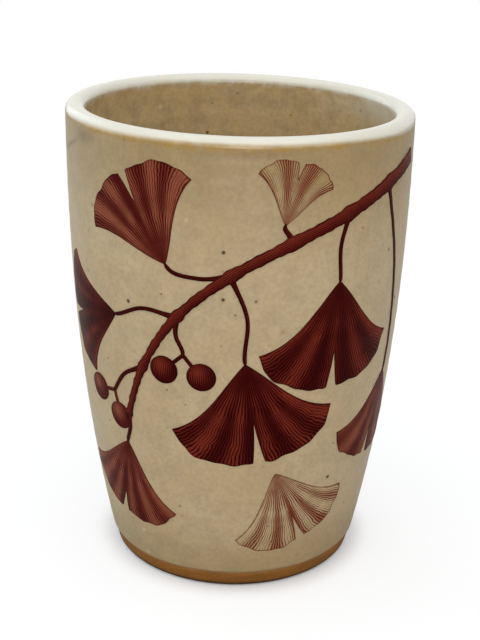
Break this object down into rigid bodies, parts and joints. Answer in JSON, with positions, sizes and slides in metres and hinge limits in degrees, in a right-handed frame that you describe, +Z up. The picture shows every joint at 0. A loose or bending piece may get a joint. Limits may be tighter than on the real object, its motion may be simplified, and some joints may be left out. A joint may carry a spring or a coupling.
{
  "type": "stoneware cup",
  "caption": "Handleless stoneware cup with a rounded lip, a tapered wall on a bare foot ring and a printed spray of leaves on its glaze.",
  "frame": {"origin": "centre of the foot, on the surface that the cup stands on", "axes": "+Z up along the cup's axis, -Y out of the middle of the printed front, +X to the right of the front"},
  "size_m": [0.08, 0.08, 0.11],
  "materials": {
    "bare_clay": "unglazed fired stoneware, fine grained and matt",
    "liner_glaze": "satin glaze with small iron specks, cream on the lip",
    "outer_glaze": "satin cream glaze with small iron specks",
    "print_dark": "fired print colour, dark burgundy",
    "print_mid": "fired print colour, hatched red-brown",
    "print_pale": "fired print colour, pale open hatching"
  },
  "bodies": {
    "root": {"stoneware_body": "bare_clay", "liner_glaze": "liner_glaze", "outer_glaze": "outer_glaze", "print_twig": "print_dark", "print_leaf_high": "print_mid", "print_leaf_left": "print_dark", "print_leaf_centre": "print_dark", "print_leaf_right": "print_dark", "print_leaf_tip": "print_mid", "print_leaf_edge": "print_mid", "print_leaf_young": "print_pale", "print_leaf_low": "print_pale", "print_seeds_centre": "print_dark", "print_seeds_left": "print_mid"}
  },
  "joints": []
}
